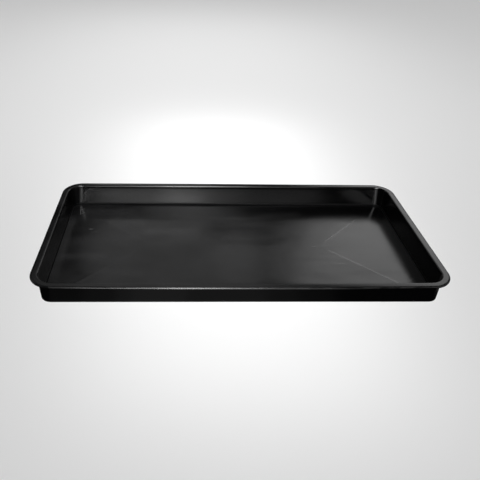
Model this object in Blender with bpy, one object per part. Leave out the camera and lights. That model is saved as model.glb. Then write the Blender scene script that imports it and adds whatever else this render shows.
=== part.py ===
"""Oil drain tray: one shallow rectangular sheet-plastic moulding. Metres, +Z up, resting on z = 0."""

import math

import bmesh
import bpy

NODE = "drip_tray"

# Overall size
LENGTH = 0.790
WIDTH = 0.400
HEIGHT = 0.050
SHEET = 0.0018

# Rim: a flat flange with a short lip turned down at its outer edge
CORNER_RADIUS = 0.044
LIP_DEPTH = 0.0042
LIP_EDGE_RADIUS = 0.0030
FLANGE_FLAT_END = 0.0116
FLANGE_INNER_RADIUS = 0.0030

# Wall and floor
WALL_DRAFT = math.radians(4.1)
FLOOR_FILLET = 0.0008
CORNER_TIGHTENING = 0.0065
CROWN_INSET = 0.0300
CROWN_RISE = 0.0015
RIDGE_END = 0.188

# Mesh density
CORNER_STEPS = 14
ARC_STEPS = 5


def clear_scene():
    for obj in list(bpy.data.objects):
        bpy.data.objects.remove(obj, do_unlink=True)


def on_arc(centre, radius, angle):
    """A point as (inset from the outer edge, height)."""
    return (
        centre[0] + radius * math.cos(angle),
        centre[1] + radius * math.sin(angle),
    )


def arc(centre, radius, start, end):
    angles = [start + (end - start) * k / ARC_STEPS for k in range(ARC_STEPS + 1)]
    return [on_arc(centre, radius, angle) for angle in angles]


def sheet_section(depth):
    """The section of one face of the sheet, from the lip to the floor.
    Depth is 0 for the face that shows from above and SHEET for the face below it."""
    lip_centre = (LIP_EDGE_RADIUS, HEIGHT - LIP_EDGE_RADIUS)
    inner_centre = (FLANGE_FLAT_END, HEIGHT - FLANGE_INNER_RADIUS)
    fillet_height = SHEET + FLOOR_FILLET
    drop = inner_centre[1] - fillet_height
    reach = (FLOOR_FILLET + FLANGE_INNER_RADIUS + drop * math.sin(WALL_DRAFT)) / math.cos(WALL_DRAFT)
    fillet_centre = (FLANGE_FLAT_END + reach, fillet_height)
    lip_end = (depth, HEIGHT - LIP_DEPTH)
    lip = arc(lip_centre, LIP_EDGE_RADIUS - depth, math.pi, math.pi / 2)
    edge = arc(inner_centre, FLANGE_INNER_RADIUS - depth, math.pi / 2, WALL_DRAFT)
    fillet = arc(fillet_centre, FLOOR_FILLET + depth, WALL_DRAFT + math.pi, 1.5 * math.pi)
    return [lip_end] + lip + edge + fillet


def corner_radius(inset, height):
    """Plan radius of a ring's corners, which tighten down the wall."""
    wall_top = HEIGHT - FLANGE_INNER_RADIUS
    down = (wall_top - height) / (wall_top - SHEET) if inset > FLANGE_FLAT_END else 0.0
    return CORNER_RADIUS - inset - CORNER_TIGHTENING * min(max(down, 0.0), 1.0)


def rounded_ring(inset, height):
    """Plan points of the outline moved in by inset, anticlockwise from the +X +Y corner."""
    half_x = LENGTH / 2 - inset
    half_y = WIDTH / 2 - inset
    radius = corner_radius(inset, height)
    points = []
    for quarter, (side_x, side_y) in enumerate(((1, 1), (-1, 1), (-1, -1), (1, -1))):
        centre_x = side_x * (half_x - radius)
        centre_y = side_y * (half_y - radius)
        for step in range(CORNER_STEPS + 1):
            angle = math.pi / 2 * (quarter + step / CORNER_STEPS)
            points.append((centre_x + radius * math.cos(angle), centre_y + radius * math.sin(angle)))
    return points


def add_ring(mesh, inset, height):
    return [mesh.verts.new((x, y, height)) for x, y in rounded_ring(inset, height)]


def bridge(mesh, outer, inner):
    """A band of smooth quads between two rings of equal count."""
    count = len(outer)
    for k in range(count):
        after = (k + 1) % count
        mesh.faces.new((outer[k], outer[after], inner[after], inner[k])).smooth = True


def add_crown(mesh, ring, base_height):
    """Four flat hip planes rising to a ridge, joined to the last ring of the floor."""
    half_x = LENGTH / 2 - CROWN_INSET
    half_y = WIDTH / 2 - CROWN_INSET
    corners = [
        mesh.verts.new((sign_x * half_x, sign_y * half_y, base_height))
        for sign_x, sign_y in ((1, 1), (-1, 1), (-1, -1), (1, -1))
    ]
    right = mesh.verts.new((RIDGE_END, 0.0, base_height + CROWN_RISE))
    left = mesh.verts.new((-RIDGE_END, 0.0, base_height + CROWN_RISE))
    for quarter, corner in enumerate(corners):
        first = quarter * (CORNER_STEPS + 1)
        for k in range(first, first + CORNER_STEPS):
            mesh.faces.new((ring[k], ring[k + 1], corner))
        last = first + CORNER_STEPS
        after = (last + 1) % len(ring)
        mesh.faces.new((ring[last], ring[after], corners[(quarter + 1) % 4], corner))
    mesh.faces.new((corners[0], corners[1], left, right))
    mesh.faces.new((corners[1], corners[2], left))
    mesh.faces.new((corners[2], corners[3], right, left))
    mesh.faces.new((corners[3], corners[0], right))


def add_sheet_face(mesh, depth):
    """One whole face of the sheet. Returns its lip ring."""
    rings = [add_ring(mesh, inset, height) for inset, height in sheet_section(depth)]
    for outer, inner in zip(rings, rings[1:]):
        bridge(mesh, outer, inner)
    add_crown(mesh, rings[-1], SHEET - depth)
    return rings[0]


def plastic():
    material = bpy.data.materials.new("black_plastic")
    material.use_nodes = True
    shader = material.node_tree.nodes["Principled BSDF"]
    shader.inputs["Base Color"].default_value = (0.012, 0.012, 0.013, 1.0)
    shader.inputs["Roughness"].default_value = 0.35
    return material


def build_tray():
    mesh = bmesh.new()
    upper = add_sheet_face(mesh, 0.0)
    lower = add_sheet_face(mesh, SHEET)
    bridge(mesh, lower, upper)
    bmesh.ops.recalc_face_normals(mesh, faces=mesh.faces)
    data = bpy.data.meshes.new(NODE)
    mesh.to_mesh(data)
    mesh.free()
    data.set_sharp_from_angle(angle=math.radians(35.0))
    data.materials.append(plastic())
    tray = bpy.data.objects.new(NODE, data)
    bpy.context.scene.collection.objects.link(tray)
    return tray


clear_scene()
build_tray()
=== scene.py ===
import math

import bmesh
import bpy
import numpy as np
from mathutils import Matrix, Vector, noise

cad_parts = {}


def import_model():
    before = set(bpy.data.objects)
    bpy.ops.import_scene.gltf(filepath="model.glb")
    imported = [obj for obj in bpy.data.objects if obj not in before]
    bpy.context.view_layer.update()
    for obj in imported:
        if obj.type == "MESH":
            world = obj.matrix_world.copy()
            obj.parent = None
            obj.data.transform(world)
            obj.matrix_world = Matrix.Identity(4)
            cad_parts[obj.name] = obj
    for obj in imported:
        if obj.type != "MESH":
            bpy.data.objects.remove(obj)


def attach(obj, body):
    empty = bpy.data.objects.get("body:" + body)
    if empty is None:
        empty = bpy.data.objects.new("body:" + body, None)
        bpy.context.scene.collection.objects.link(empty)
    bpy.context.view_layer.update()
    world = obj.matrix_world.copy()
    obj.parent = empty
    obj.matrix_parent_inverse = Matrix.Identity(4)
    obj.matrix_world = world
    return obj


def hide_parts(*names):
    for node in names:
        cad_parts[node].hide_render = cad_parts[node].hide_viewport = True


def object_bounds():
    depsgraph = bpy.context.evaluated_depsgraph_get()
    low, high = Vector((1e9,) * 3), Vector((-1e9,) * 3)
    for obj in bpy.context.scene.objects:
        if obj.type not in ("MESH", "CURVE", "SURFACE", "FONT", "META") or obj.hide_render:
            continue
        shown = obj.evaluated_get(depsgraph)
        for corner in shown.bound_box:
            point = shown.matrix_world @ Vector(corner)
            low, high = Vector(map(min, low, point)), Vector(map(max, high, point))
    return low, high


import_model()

CAD_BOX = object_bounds()

# The tray's own dimensions, in metres. The outer size comes from the frame.
NODE = "drip_tray"
LENGTH, WIDTH, HEIGHT = CAD_BOX[1] - CAD_BOX[0]
HALF_LENGTH = LENGTH / 2
HALF_WIDTH = WIDTH / 2
SHEET = 0.0018
CORNER_RADIUS = 0.044
LIP_DEPTH = 0.0042
LIP_EDGE_RADIUS = 0.0030
FLANGE_FLAT_END = 0.0116
FLANGE_INNER_RADIUS = 0.0030
WALL_DRAFT = math.radians(4.1)
FLOOR_FILLET = 0.0008
CORNER_TIGHTENING = 0.0065
SHARPEST_CORNER = 0.0006

# The floor: four hip planes that rise from a flat border to a ridge along the middle
CROWN_INSET = 0.030
CROWN_RISE = 0.0015
CROWN_ROUNDING = 0.003
RIDGE_END = 0.188
CROWN_RUN_X = HALF_LENGTH - CROWN_INSET - RIDGE_END
CROWN_RUN_Y = HALF_WIDTH - CROWN_INSET

# How the moulding has relaxed: long walls pulled in at their ends, front rim sagging between them,
# and the foot of the back wall creeping in
END_PULL = 0.0014
FRONT_SAG = 0.0030
BACK_CREEP = 0.0046
WALL_WAVE = 0.00012
FLOOR_WAVE = 0.00030
WAVE_LENGTH = 0.080
WAVE_STRETCH = 1.6

# Which points lie on the floor, where its waves start and reach full height, and where the walls start
FLOOR_EDGE = 0.019
FLOOR_CEILING = 0.010
WAVE_EDGE = 0.020
WAVE_RAMP = 0.050
WALL_START = 0.003

# Beads along the floor's creases: start, end, half width, height, and how pale the crease is, partly
# stress whitening and partly a painted highlight
CREASES = (
    ((0.193, 0.007), (0.306, 0.119), 0.0040, 0.00004, 0.20),
    ((0.190, -0.004), (0.352, -0.160), 0.0046, 0.00004, 0.21),
    ((0.165, -0.002), (0.190, -0.003), 0.0030, 0.00004, 0.12),
    ((-0.190, 0.004), (-0.350, 0.158), 0.0020, 0.00003, 0.0),
    ((-0.198, -0.011), (-0.325, -0.134), 0.0040, 0.00010, 0.02),
)

# Small folds where the sheet gathered in one corner of the floor
CORNER_FOLDS = (
    ((-0.360, 0.168), (-0.353, 0.128), 0.0014, 0.00012, 0.45),
    ((-0.357, 0.151), (-0.346, 0.158), 0.0012, 0.00009, 0.40),
    ((-0.353, 0.133), (-0.345, 0.139), 0.0012, 0.00009, 0.35),
)

# Scuffs on the floor, and wide pale smears that are partly dust and partly painted sheen: start, end, half
# width, and how pale they are
SCUFFS_AND_SHEEN_SMEARS = (
    ((-0.326, 0.066), (-0.313, 0.067), 0.0014, 0.9),
    ((-0.318, 0.052), (-0.300, 0.058), 0.0014, 0.15),
    ((0.196, -0.062), (0.232, -0.064), 0.0030, 0.10),
    ((-0.210, 0.055), (-0.065, 0.057), 0.0240, 0.045),
    ((-0.375, -0.036), (-0.262, -0.042), 0.0180, 0.035),
    ((-0.290, 0.100), (-0.190, 0.094), 0.0260, 0.035),
    ((-0.300, -0.090), (-0.180, -0.100), 0.0200, 0.020),
    ((-0.365, 0.146), (-0.215, 0.143), 0.0360, 0.060),
    ((0.050, 0.126), (0.180, 0.138), 0.0220, 0.035),
)

# Where the rim is rubbed: its outer edge, and its inner edge past the flat, as (inset, depth)
OUTER_EDGE = (0.0007, 0.0007)
INNER_EDGE = (0.0018, 0.0008)
INNER_RUB = 0.6
RUB_REACH = 0.0012

# The dark line in the corner between wall and floor
CORNER_LINE_PLACE = 0.7
CORNER_LINE_REACH = 0.0011

# The plastic's colours: bare, under a layer of dust with painted sheen, rubbed, pale marks with painted
# highlights, and specked with dust
BARE = (0.0010, 0.0010, 0.0011, 1)
DUST_AND_SHEEN = (0.012, 0.012, 0.0125, 1)
RUBBED = (0.020, 0.020, 0.020, 1)
PALE_MARKS_AND_HIGHLIGHTS = (0.24, 0.24, 0.24, 1)
SPECKED = (0.05, 0.05, 0.05, 1)
SPECK_STRENGTH = 0.25

# The dust layer with its painted sheen, lighter on up-facing surfaces, is full left of the first X and
# fades out by the second
DUST_AND_SHEEN_FULL = -0.05
DUST_AND_SHEEN_END = 0.30

# The floor's roughness, and what is added by haze, streaks, standing upright and the corner line
FLOOR_ROUGHNESS = 0.18
HAZE_ROUGHNESS = 0.05
STREAK_ROUGHNESS = 0.03
WALL_ROUGHNESS = -0.08
CORNER_ROUGHNESS = 0.7

# Mesh density
CORNER_STEPS = 26
SIDE_SPACING = 0.0078
FLOOR_SPACING = 0.0048
NEAR_CORNER = (0.0008, 0.0017, 0.0028, 0.0042, 0.0062, 0.0090, 0.0130)
NEAR_WALL = (0.0008, 0.0018, 0.0031, 0.0048, 0.0070, 0.0098, 0.0135)
WELD_DISTANCE = 2e-6

# The floor and the backdrop
STAGE_DROP = 0.0002
FLOOR_REACH = 9.0
BACKDROP_RADIUS = 5.5
BACKDROP_HEIGHT = 7.0
BACKDROP_STEPS = 96
BACKDROP_GLOW = (0.60, 0.60, 0.60, 1.0)
WORLD_GLOW = (0.004, 0.004, 0.004, 1.0)

# Lights on the floor alone: name, place, size and radiance
FLOOR_LIGHTS = (
    ("floor_even", (0.3, 1.3, 2.4), (14.0, 14.0), 0.68),
    ("floor_near_pool", (0.0, 0.15, 0.25), (0.5, 1.2), 0.80),
    ("floor_far_pool", (0.0, 1.4, 0.9), (1.5, 2.3), 0.62),
)

# Lights on the tray alone, all at one distance: name, azimuths and elevations in degrees, and radiance.
# Azimuth 0 is +Y and 90 is +X.
LIGHT_DISTANCE = 2.2
LOW = (4, 30)
HIGH = (30, 60)
TOP = (60, 84)

# Behind the viewer: narrow and low with a crisp left edge, softer above
FRONT_WINDOWS = (
    ("front_low_left", (199, 206), LOW, 0.9),
    ("front_low_wide", (158, 199), LOW, 1.4),
    ("front_low_near", (172, 199), LOW, 1.4),
    ("front_low_main", (178, 199), LOW, 2.4),
    ("front_low_core", (181, 186), LOW, 6.0),
    ("front_high_wide", (164, 198), HIGH, 0.6),
    ("front_high_near", (169, 196), HIGH, 1.9),
    ("front_high_main", (174, 195), HIGH, 3.6),
    ("front_high_core", (178, 187), HIGH, 5.0),
    ("front_top", (152, 200), TOP, 7.0),
    ("front_top_main", (168, 194), TOP, 8.0),
)

# Beyond the tray, mirrored to the viewer by its floor: dim to the left, bright to the right
REAR_WINDOWS = (
    ("rear_right", (23.5, 50), (21, 41), 1.64),
    ("rear_right_edge", (20, 23.5), (21, 41), 1.15),
    ("rear_right_fringe", (16, 20), (21, 41), 0.45),
    ("rear_left", (-27, 14), (32, 60), 0.46),
    ("rear_left_low", (-19, 1), (13, 31), 0.60),
    ("rear_middle", (3, 18), (31, 41), 0.28),
    ("rear_left_end", (-38, -27), (36, 50), 0.30),
    ("rear_far_left", (-86, -52), (14, 42), 0.22),
    ("rear_far_left_main", (-86, -60), (14, 42), 0.08),
)

# Dim light for the outer faces, from below and from the right
SIDE_GLOWS = (
    ("low_front", (156, 204), (-27, -9), 0.45),
    ("low_right", (72, 108), (-28, -8), 0.45),
    ("low_back_right", (25, 65), (-48, -22), 0.45),
    ("low_front_left", (216, 246), (-28, -14), 0.16),
    ("right_of_front", (108, 150), (4, 36), 0.40),
    ("right", (75, 104), (3, 26), 0.25),
)

# Layers of light from below the front wall, stepping up to its brightest stretch: left, right, radiance
BENCH_LAYERS = ((-0.72, 0.46, 0.04), (-0.48, 0.32, 0.04), (-0.36, 0.20, 0.06), (-0.30, -0.10, 0.05))
BENCH_WIDTH = 0.7
BENCH_PLACE = (-0.75, -0.75)
BENCH_AIM = (-0.2, 0.02)

# Camera
CAMERA_AT = (-0.1107, -0.9274, 0.6428)
CAMERA_DOWN = math.radians(33.949)
CAMERA_TURN = math.radians(2.280)
CAMERA_ROLL = math.radians(1.443)
CAMERA_LENS = 38.886
CAMERA_SENSOR = 36.0
CAMERA_SHIFT = 0.0824


# ---------------------------------------------------------------- tray shape


def arc(centre, radius, start, end, steps):
    """Points (inset, height) on an arc."""
    angles = np.linspace(start, end, steps + 1)
    return [(centre[0] + radius * math.cos(a), centre[1] + radius * math.sin(a)) for a in angles]


def between(first, last, steps):
    """Points strictly between two (inset, height) points."""
    return [
        (first[0] + (last[0] - first[0]) * k / steps, first[1] + (last[1] - first[1]) * k / steps)
        for k in range(1, steps)
    ]


def floor_insets(start):
    """Insets of the floor's rings, from the fillet to the ridge, closer together at both ends."""
    outer = [start + step for step in NEAR_WALL]
    inner = [HALF_WIDTH - step for step in reversed(NEAR_CORNER)]
    count = round((inner[0] - outer[-1]) / FLOOR_SPACING)
    middle = np.linspace(outer[-1], inner[0], count + 1)[1:-1]
    return outer + list(middle) + inner + [HALF_WIDTH]


def floor_fillet_centre():
    """Where the wall's slope puts the centre of the fillet between wall and floor."""
    height = SHEET + FLOOR_FILLET
    drop = HEIGHT - FLANGE_INNER_RADIUS - height
    reach = (FLOOR_FILLET + FLANGE_INNER_RADIUS + drop * math.sin(WALL_DRAFT)) / math.cos(WALL_DRAFT)
    return FLANGE_FLAT_END + reach, height


def section(depth):
    """(inset, height) rings of one face of the sheet from the lip's end to the ridge.
    Depth is 0 for the face seen from above and SHEET for the face below it."""
    lip_centre = (LIP_EDGE_RADIUS, HEIGHT - LIP_EDGE_RADIUS)
    inner_centre = (FLANGE_FLAT_END, HEIGHT - FLANGE_INNER_RADIUS)
    fillet_centre = floor_fillet_centre()
    half = SHEET / 2
    side = math.pi if depth == 0 else 2 * math.pi
    end = arc((half, HEIGHT - LIP_DEPTH + half), half, 1.5 * math.pi, side, 3)
    lip = arc(lip_centre, LIP_EDGE_RADIUS - depth, math.pi, math.pi / 2, 7)
    edge = arc(inner_centre, FLANGE_INNER_RADIUS - depth, math.pi / 2, WALL_DRAFT, 8)
    fillet = arc(fillet_centre, FLOOR_FILLET + depth, WALL_DRAFT + math.pi, 1.5 * math.pi, 7)
    floor = [(inset, SHEET - depth) for inset in floor_insets(fillet_centre[0])]
    rings = end + between(end[-1], lip[0], 2) + lip + between(lip[-1], edge[0], 4) + edge
    return rings + between(edge[-1], fillet[0], 8) + fillet + floor


def corner_radius(inset, height):
    """Plan radius of a ring's corners: it tightens down the wall, and is sharp on the creases."""
    wall_top = HEIGHT - FLANGE_INNER_RADIUS
    down = (wall_top - height) / (wall_top - SHEET) if inset > FLANGE_FLAT_END else 0.0
    radius = CORNER_RADIUS - inset - CORNER_TIGHTENING * min(max(down, 0.0), 1.0)
    if radius > SHARPEST_CORNER:
        return radius
    return SHARPEST_CORNER * (HALF_WIDTH - inset) / (HALF_WIDTH - CORNER_RADIUS + CORNER_TIGHTENING)


def side_fractions(length):
    """Where a straight side's points lie, as shares of its length, closer together near its ends."""
    near = np.array(NEAR_CORNER) / length
    count = round(length * (1 - 2 * near[-1]) / SIDE_SPACING)
    middle = np.linspace(near[-1], 1 - near[-1], count + 1)[1:-1]
    return np.concatenate([near, middle, (1 - near)[::-1]])


LONG_FRACTIONS = side_fractions(LENGTH - 2 * CORNER_RADIUS)
SHORT_FRACTIONS = side_fractions(WIDTH - 2 * CORNER_RADIUS)


def ring_plan(inset, height):
    """Plan points of the outline moved in by inset, anticlockwise from the +X side's upper end.
    Past the crown's border the rings close on the ridge, so their corners follow the creases."""
    radius = corner_radius(inset, height)
    lean = CROWN_RUN_X / CROWN_RUN_Y - 1
    half_x = HALF_LENGTH - inset - max(inset - CROWN_INSET, 0) * lean
    half_y = HALF_WIDTH - inset
    turns = np.linspace(0.0, math.pi / 2, CORNER_STEPS + 1)
    corners = ((1, 1), (-1, 1), (-1, -1), (1, -1))
    centres = [np.array([x * (half_x - radius), y * (half_y - radius)]) for x, y in corners]
    points = []
    for quarter, centre in enumerate(centres):
        angles = turns + quarter * math.pi / 2
        points.append(centre + radius * np.stack([np.cos(angles), np.sin(angles)], axis=1))
        last = points[-1][-1]
        end = centres[(quarter + 1) % 4] + (last - centre)
        fractions = LONG_FRACTIONS if quarter % 2 == 0 else SHORT_FRACTIONS
        points.append(last + (end - last) * fractions[:, None])
    return np.concatenate(points)


def bead(x, y, start, end, half_width):
    """1 on a straight line across the floor, falling away to 0 beside it and past its ends."""
    start, end = np.array(start), np.array(end)
    along = end - start
    share = ((x - start[0]) * along[0] + (y - start[1]) * along[1]) / along.dot(along)
    share = np.clip(share, 0.0, 1.0)
    gap = np.hypot(x - start[0] - share * along[0], y - start[1] - share * along[1])
    return np.exp(-((gap / half_width) ** 2))


def crown(x, y):
    """Height of the hip planes over the floor's flat border."""
    past_x = (RIDGE_END + CROWN_RUN_X - np.abs(x)) * CROWN_RUN_Y / CROWN_RUN_X
    past = np.minimum(past_x, CROWN_RUN_Y - np.abs(y))
    return CROWN_RISE / CROWN_RUN_Y * (past + np.sqrt(past**2 + CROWN_ROUNDING**2)) / 2


def waves(x, y, seed):
    """Slow unevenness between about -1 and 1, longer along X than along Y."""
    points = np.stack([x / (WAVE_STRETCH * WAVE_LENGTH), y / WAVE_LENGTH, np.full_like(x, seed)], axis=-1)
    flat = points.reshape(-1, 3)
    heights = [noise.fractal(Vector(p), 1.0, 2.0, 3, noise_basis="PERLIN_ORIGINAL") for p in flat]
    return np.array(heights).reshape(x.shape)


def shaped(points):
    """The rings with the crown, the creases and the moulding's small departures from its ideal shape."""
    x, y, z = points[..., 0].copy(), points[..., 1].copy(), points[..., 2].copy()
    inset = np.minimum(HALF_LENGTH - np.abs(x), HALF_WIDTH - np.abs(y))
    on_floor = (inset > FLOOR_EDGE) & (z < FLOOR_CEILING)
    settled = np.clip((inset - WAVE_EDGE) / WAVE_RAMP, 0, 1)
    settled = settled**2 * (3 - 2 * settled)
    share = np.clip((z - WALL_START) / (HEIGHT - WALL_START), 0, 1)
    far_x = x / HALF_LENGTH
    far_y = y / HALF_WIDTH

    rise = crown(x, y) + FLOOR_WAVE * (1 + waves(x, y, 3.1)) * settled
    y = y - BACK_CREEP * np.clip(far_y, 0, 1) ** 4 * (1 - share)
    for start, end, half_width, height, _ in CREASES + CORNER_FOLDS:
        rise = rise + height * bead(x, y, start, end, half_width)
    rise = rise * on_floor
    sag = FRONT_SAG * (1 - far_x**2) * np.clip(-far_y, 0, 1) ** 4 * share
    inward_y = END_PULL * far_x**2 + WALL_WAVE * (1 + waves(x, np.sign(y) * 0.3, 7.7))
    inward_x = WALL_WAVE * (1 + waves(y, np.sign(x) * 0.3, 5.2))
    x = x - inward_x * np.sign(x) * far_x**4 * share
    y = y - inward_y * np.sign(y) * far_y**4 * share
    return np.stack([x, y, z + rise - sag], axis=-1)


def near(rings, inset, height, reach):
    """1 on the rings that pass a point of the section, falling to 0 away from it."""
    gaps = [math.hypot(i - inset, h - height) for i, h in rings]
    return np.exp(-((np.array(gaps) / reach) ** 2))


def ring_masks(rings):
    """How rubbed each ring is by handling, most on the rim's edges,
    and how deep in the corner between wall and floor it is."""
    outer = near(rings, OUTER_EDGE[0], HEIGHT - OUTER_EDGE[1], RUB_REACH)
    inner = near(rings, FLANGE_FLAT_END + INNER_EDGE[0], HEIGHT - INNER_EDGE[1], RUB_REACH)
    inset, height = floor_fillet_centre()
    back = CORNER_LINE_PLACE * FLOOR_FILLET
    corner = near(rings, inset - back, height - back, CORNER_LINE_REACH)
    return np.maximum(outer, INNER_RUB * inner), corner


def build_tray():
    faces_of_sheet = []
    rub, corner = [], []
    for depth in (0.0, SHEET):
        rings = section(depth)
        plans = np.array([ring_plan(inset, height) for inset, height in rings])
        heights = np.array([height for _, height in rings])
        levels = np.broadcast_to(heights[:, None, None], (*plans.shape[:2], 1))
        faces_of_sheet.append(shaped(np.concatenate([plans, levels], axis=2)))
        rubbed, cornered = ring_masks(rings)
        rub.append(np.repeat(rubbed, plans.shape[1]))
        corner.append(np.repeat(cornered, plans.shape[1]))
    upper, lower = faces_of_sheet
    count = upper.shape[1]
    points = np.concatenate([upper.reshape(-1, 3), lower.reshape(-1, 3)])
    across = np.arange(count)
    after = (across + 1) % count
    quads = []
    for ring in range(len(upper) - 1):
        a, b = ring * count, (ring + 1) * count
        quads.append(np.stack([a + across, a + after, b + after, b + across], axis=1))
    shift = len(upper) * count
    for ring in range(len(lower) - 1):
        a, b = shift + ring * count, shift + (ring + 1) * count
        quads.append(np.stack([b + across, b + after, a + after, a + across], axis=1))
    mesh = bpy.data.meshes.new("tray_shell")
    mesh.from_pydata(points.tolist(), [], np.concatenate(quads).tolist())
    for name, values in (("rubbing", rub), ("corner", corner)):
        mask = mesh.attributes.new(name, "FLOAT", "POINT")
        mask.data.foreach_set("value", np.concatenate(values).astype(np.float32))
    work = bmesh.new()
    work.from_mesh(mesh)
    bmesh.ops.remove_doubles(work, verts=work.verts, dist=WELD_DISTANCE)
    bmesh.ops.recalc_face_normals(work, faces=work.faces)
    work.to_mesh(mesh)
    work.free()
    mesh.shade_smooth()
    tray = bpy.data.objects.new("tray_shell", mesh)
    bpy.context.scene.collection.objects.link(tray)
    return tray


# ---------------------------------------------------------------- materials


def add(tree, kind, sockets=None, **settings):
    """A node with its settings, and its sockets set to values or linked to outputs."""
    made = tree.nodes.new(kind)
    for name, value in settings.items():
        setattr(made, name, value)
    for key, value in (sockets or {}).items():
        if isinstance(value, bpy.types.NodeSocket):
            tree.links.new(value, made.inputs[key])
        else:
            made.inputs[key].default_value = value
    return made


def noise_mask(tree, place, scale, stretch, low, high, detail=4.0):
    """A 0 to 1 mask from noise: stretch scales the coordinates, and low and high bound its soft step."""
    moved = add(tree, "ShaderNodeMapping", {"Vector": place, "Scale": stretch})
    grain = add(tree, "ShaderNodeTexNoise", {"Vector": moved.outputs[0], "Scale": scale, "Detail": detail})
    step = add(
        tree,
        "ShaderNodeMapRange",
        {"Value": grain.outputs["Fac"], "From Min": low, "From Max": high},
        interpolation_type="SMOOTHSTEP",
    )
    return step.outputs[0]


def ramp(tree, value, start, end, low=0.0, high=1.0):
    """Runs from low to high while the value runs from start to end."""
    bounds = {"Value": value, "From Min": start, "From Max": end, "To Min": low, "To Max": high}
    return add(tree, "ShaderNodeMapRange", bounds).outputs[0]


def times(tree, first, second):
    return add(tree, "ShaderNodeMath", {0: first, 1: second}, operation="MULTIPLY").outputs[0]


def plus(tree, first, second):
    return add(tree, "ShaderNodeMath", {0: first, 1: second}, operation="ADD").outputs[0]


def mixed(tree, factor, first, second):
    """Two colours mixed by a factor."""
    mix = add(tree, "ShaderNodeMix", {"Factor": factor}, data_type="RGBA")
    for socket, value in ((mix.inputs[6], first), (mix.inputs[7], second)):
        if isinstance(value, bpy.types.NodeSocket):
            tree.links.new(value, socket)
        else:
            socket.default_value = value
    return mix.outputs[2]


def line_mask(tree, place, start, end, half_width):
    """1 along a straight line across the floor, fading beside it and over its ends."""
    start, end = Vector((*start, 0.0)), Vector((*end, 0.0))
    along = end - start
    turn = math.atan2(along.y, along.x)
    moved = add(
        tree,
        "ShaderNodeMapping",
        {"Vector": place, "Location": (start + end) / 2, "Rotation": (0, 0, turn)},
        vector_type="TEXTURE",
    )
    parts = add(tree, "ShaderNodeSeparateXYZ", {0: moved.outputs[0]}).outputs
    masks = []
    for part, full, none in (
        ("X", 0.35 * along.length, 0.5 * along.length),
        ("Y", 0.0, half_width),
        ("Z", 0.004, 0.006),
    ):
        size = add(tree, "ShaderNodeMath", {0: parts[part]}, operation="ABSOLUTE").outputs[0]
        fade = {"Value": size, "From Min": full, "From Max": none, "To Min": 1.0, "To Max": 0.0}
        masks.append(add(tree, "ShaderNodeMapRange", fade, interpolation_type="SMOOTHSTEP").outputs[0])
    return times(tree, times(tree, masks[0], masks[1]), masks[2])


def pale_lines_and_highlights(tree, place):
    """How pale the floor's creases, folds, scuffs and smears are: real whitening and dust, with a painted
    highlight on the creases and painted sheen on the wide smears.
    """
    lines = [(start, end, width, pale) for start, end, width, _, pale in CREASES + CORNER_FOLDS]
    total = 0.0
    for start, end, width, pale in lines + list(SCUFFS_AND_SHEEN_SMEARS):
        total = plus(tree, total, times(tree, line_mask(tree, place, start, end, width), pale))
    return total


def plastic():
    material = bpy.data.materials.new("black_plastic")
    material.use_nodes = True
    tree = material.node_tree
    shader = tree.nodes["Principled BSDF"]
    shader.inputs["IOR"].default_value = 1.5
    coordinates = add(tree, "ShaderNodeTexCoord").outputs
    place = coordinates["Object"]
    up = add(tree, "ShaderNodeSeparateXYZ", {0: coordinates["Normal"]}).outputs["Z"]
    upright = ramp(tree, up, 0.9, 0.5)
    rub = add(tree, "ShaderNodeAttribute", attribute_name="rubbing").outputs["Fac"]
    corner = add(tree, "ShaderNodeAttribute", attribute_name="corner").outputs["Fac"]

    haze = noise_mask(tree, place, 8.0, (1.0, 1.6, 2.0), 0.30, 0.80, 2.5)
    streaks = noise_mask(tree, place, 5.0, (0.6, 16.0, 4.0), 0.35, 0.75, 3.0)
    specks = noise_mask(tree, place, 420.0, (1.0, 1.0, 1.0), 0.70, 0.78, 2.0)
    patchy = noise_mask(tree, place, 60.0, (0.4, 1.0, 1.0), 0.35, 0.65)

    level = add(tree, "ShaderNodeMath", {0: 1.0, 1: upright}, operation="SUBTRACT").outputs[0]
    across = add(tree, "ShaderNodeSeparateXYZ", {0: place}).outputs["X"]
    # Painted sheen: up-facing surfaces are lighter at the left and fade to the right, partly a layer of
    # dust and partly painted reflection
    dust_and_sheen_mask = times(tree, times(tree, haze, level), ramp(tree, across, DUST_AND_SHEEN_END, DUST_AND_SHEEN_FULL))
    base = mixed(tree, dust_and_sheen_mask, BARE, DUST_AND_SHEEN)
    worn_over_sheen = mixed(tree, times(tree, rub, patchy), base, RUBBED)
    # Pale lines: scuffs, folds, stress whitening and dust, plus painted highlights on the creases and
    # painted sheen on the wide smears
    pale_and_highlight_mask = times(tree, pale_lines_and_highlights(tree, place), plus(tree, times(tree, patchy, 0.4), 0.6))
    pale = mixed(tree, pale_and_highlight_mask, worn_over_sheen, PALE_MARKS_AND_HIGHLIGHTS)
    colour_with_painted_light = mixed(tree, times(tree, specks, SPECK_STRENGTH), pale, SPECKED)
    tree.links.new(colour_with_painted_light, shader.inputs["Base Color"])

    soft = plus(tree, times(tree, haze, HAZE_ROUGHNESS), times(tree, streaks, STREAK_ROUGHNESS))
    wall = plus(tree, plus(tree, FLOOR_ROUGHNESS, soft), times(tree, upright, WALL_ROUGHNESS))
    tree.links.new(plus(tree, wall, times(tree, corner, CORNER_ROUGHNESS)), shader.inputs["Roughness"])
    tree.links.new(ramp(tree, corner, 0.0, 1.0, 0.5, 0.0), shader.inputs["Specular IOR Level"])

    peel = add(tree, "ShaderNodeTexNoise", {"Vector": place, "Scale": 260.0, "Detail": 2.0}).outputs["Fac"]
    bump = add(tree, "ShaderNodeBump", {"Height": peel, "Strength": 0.22, "Distance": 0.00008})
    tree.links.new(bump.outputs[0], shader.inputs["Normal"])
    return material


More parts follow.
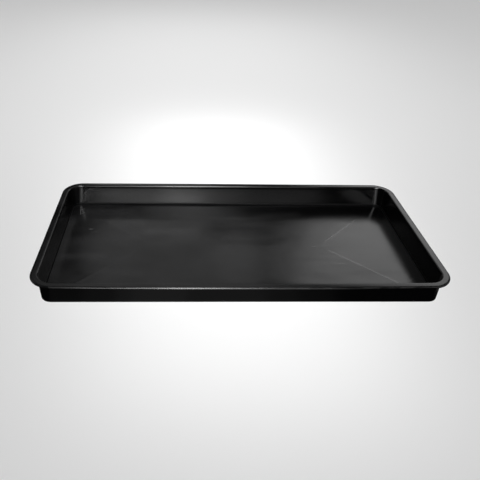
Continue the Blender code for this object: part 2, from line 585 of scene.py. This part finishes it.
def floor_paint():
    material = bpy.data.materials.new("pale_floor")
    material.use_nodes = True
    shader = material.node_tree.nodes["Principled BSDF"]
    shader.inputs["Base Color"].default_value = (0.86, 0.86, 0.86, 1.0)
    shader.inputs["Roughness"].default_value = 0.9
    shader.inputs["Specular IOR Level"].default_value = 0.1
    return material


# ---------------------------------------------------------------- stage, lights and camera


def stage_floor():
    mesh = bpy.data.meshes.new("stage_floor")
    signs = ((-1, -1), (1, -1), (1, 1), (-1, 1))
    corners = [(x * FLOOR_REACH, y * FLOOR_REACH, 0) for x, y in signs]
    mesh.from_pydata(corners, [], [(0, 1, 2, 3)])
    floor = bpy.data.objects.new("stage_floor", mesh)
    floor.location.z = CAD_BOX[0].z - STAGE_DROP
    mesh.materials.append(floor_paint())
    bpy.context.scene.collection.objects.link(floor)
    floor.visible_glossy = False
    floor.visible_diffuse = False
    return floor


def backdrop():
    """A pale wall all round, which only the camera sees."""
    steps = BACKDROP_STEPS
    angles = [2 * math.pi * k / steps for k in range(steps)]
    foot = [(BACKDROP_RADIUS * math.cos(a), BACKDROP_RADIUS * math.sin(a), 0.0) for a in angles]
    head = [(x, y, BACKDROP_HEIGHT) for x, y, _ in foot]
    sides = [(k, (k + 1) % steps, steps + (k + 1) % steps, steps + k) for k in range(steps)]
    mesh = bpy.data.meshes.new("backdrop")
    mesh.from_pydata(foot + head, [], sides)
    wall = bpy.data.objects.new("backdrop", mesh)
    wall.location.z = CAD_BOX[0].z - STAGE_DROP
    material = bpy.data.materials.new("pale_backdrop")
    material.use_nodes = True
    shader = material.node_tree.nodes["Principled BSDF"]
    shader.inputs["Base Color"].default_value = (0.0, 0.0, 0.0, 1.0)
    shader.inputs["Emission Color"].default_value = BACKDROP_GLOW
    shader.inputs["Emission Strength"].default_value = 1.0
    mesh.materials.append(material)
    bpy.context.scene.collection.objects.link(wall)
    for kind in ("glossy", "diffuse", "transmission", "shadow"):
        setattr(wall, f"visible_{kind}", False)


def only_for(light, obj):
    """The light reaches one object, and nothing else shades it."""
    chosen = bpy.data.collections.new(light.name + "_only")
    chosen.objects.link(obj)
    light.light_linking.receiver_collection = chosen
    light.light_linking.blocker_collection = chosen


def panel(name, place, aim, size, radiance, glossy=True):
    """A soft rectangular light. Radiance is what it shows in a mirror."""
    data = bpy.data.lights.new(name, "AREA")
    data.shape = "RECTANGLE"
    data.size, data.size_y = size
    data.energy = radiance * size[0] * size[1] * math.pi
    light = bpy.data.objects.new(name, data)
    light.location = place
    direction = Vector(aim) - Vector(place)
    light.rotation_euler = direction.to_track_quat("-Z", "Y").to_euler()
    light.visible_camera = False
    light.visible_glossy = glossy
    bpy.context.scene.collection.objects.link(light)
    return light


def floor_lights(floor):
    """An even light with two brighter pools, round the tray and behind it, that reach only the floor."""
    for name, place, size, radiance in FLOOR_LIGHTS:
        light = panel(name, place, (place[0], place[1], 0.0), size, radiance, glossy=False)
        only_for(light, floor)


def window(name, azimuths, elevations, radiance):
    """A panel that faces the tray and fills a range of directions."""
    azimuth = math.radians(sum(azimuths) / 2)
    elevation = math.radians(sum(elevations) / 2)
    level = LIGHT_DISTANCE * math.cos(elevation)
    place = (level * math.sin(azimuth), level * math.cos(azimuth), LIGHT_DISTANCE * math.sin(elevation))
    width = 2 * level * math.tan(math.radians(azimuths[1] - azimuths[0]) / 2)
    height = 2 * LIGHT_DISTANCE * math.tan(math.radians(elevations[1] - elevations[0]) / 2)
    return panel(name, place, (0, 0, 0), (width, height), radiance)


def bench_glow():
    """Light from below that shows in the front wall."""
    layers = []
    for number, (left, right, radiance) in enumerate(BENCH_LAYERS):
        middle = (left + right) / 2
        place = (middle, *BENCH_PLACE)
        aim = (middle, *BENCH_AIM)
        layers.append(panel(f"bench_glow_{number}", place, aim, (right - left, BENCH_WIDTH), radiance))
    return layers


def tray_lights(tray):
    lights = [window(*row) for row in FRONT_WINDOWS + REAR_WINDOWS]
    lights += bench_glow()
    lights += [window(*row) for row in SIDE_GLOWS]
    for light in lights:
        only_for(light, tray)


def world():
    data = bpy.data.worlds.new("studio")
    data.use_nodes = True
    back = data.node_tree.nodes["Background"]
    back.inputs["Color"].default_value = WORLD_GLOW
    back.inputs["Strength"].default_value = 1.0
    bpy.context.scene.world = data


def camera():
    data = bpy.data.cameras.new("camera")
    data.lens = CAMERA_LENS
    data.sensor_width = CAMERA_SENSOR
    data.shift_x = CAMERA_SHIFT
    data.clip_start = 0.01
    data.clip_end = 50.0
    cam = bpy.data.objects.new("camera", data)
    ahead = Vector((math.sin(CAMERA_TURN), math.cos(CAMERA_TURN), 0.0))
    up = Vector((0, 0, 1))
    forward = ahead * math.cos(CAMERA_DOWN) - up * math.sin(CAMERA_DOWN)
    right = ahead.cross(up)
    over = ahead * math.sin(CAMERA_DOWN) + up * math.cos(CAMERA_DOWN)
    cam_right = right * math.cos(CAMERA_ROLL) + over * math.sin(CAMERA_ROLL)
    cam_up = over * math.cos(CAMERA_ROLL) - right * math.sin(CAMERA_ROLL)
    turn = Matrix((cam_right, cam_up, -forward)).transposed()
    cam.matrix_world = Matrix.Translation(CAMERA_AT) @ turn.to_4x4()
    bpy.context.scene.collection.objects.link(cam)
    bpy.context.scene.camera = cam


bpy.context.scene.view_settings.view_transform = "Standard"
tray = build_tray()
tray.data.materials.append(plastic())
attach(tray, "root")
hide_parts(NODE)
floor_lights(stage_floor())
backdrop()
tray_lights(tray)
world()
camera()

bpy.context.view_layer.update()
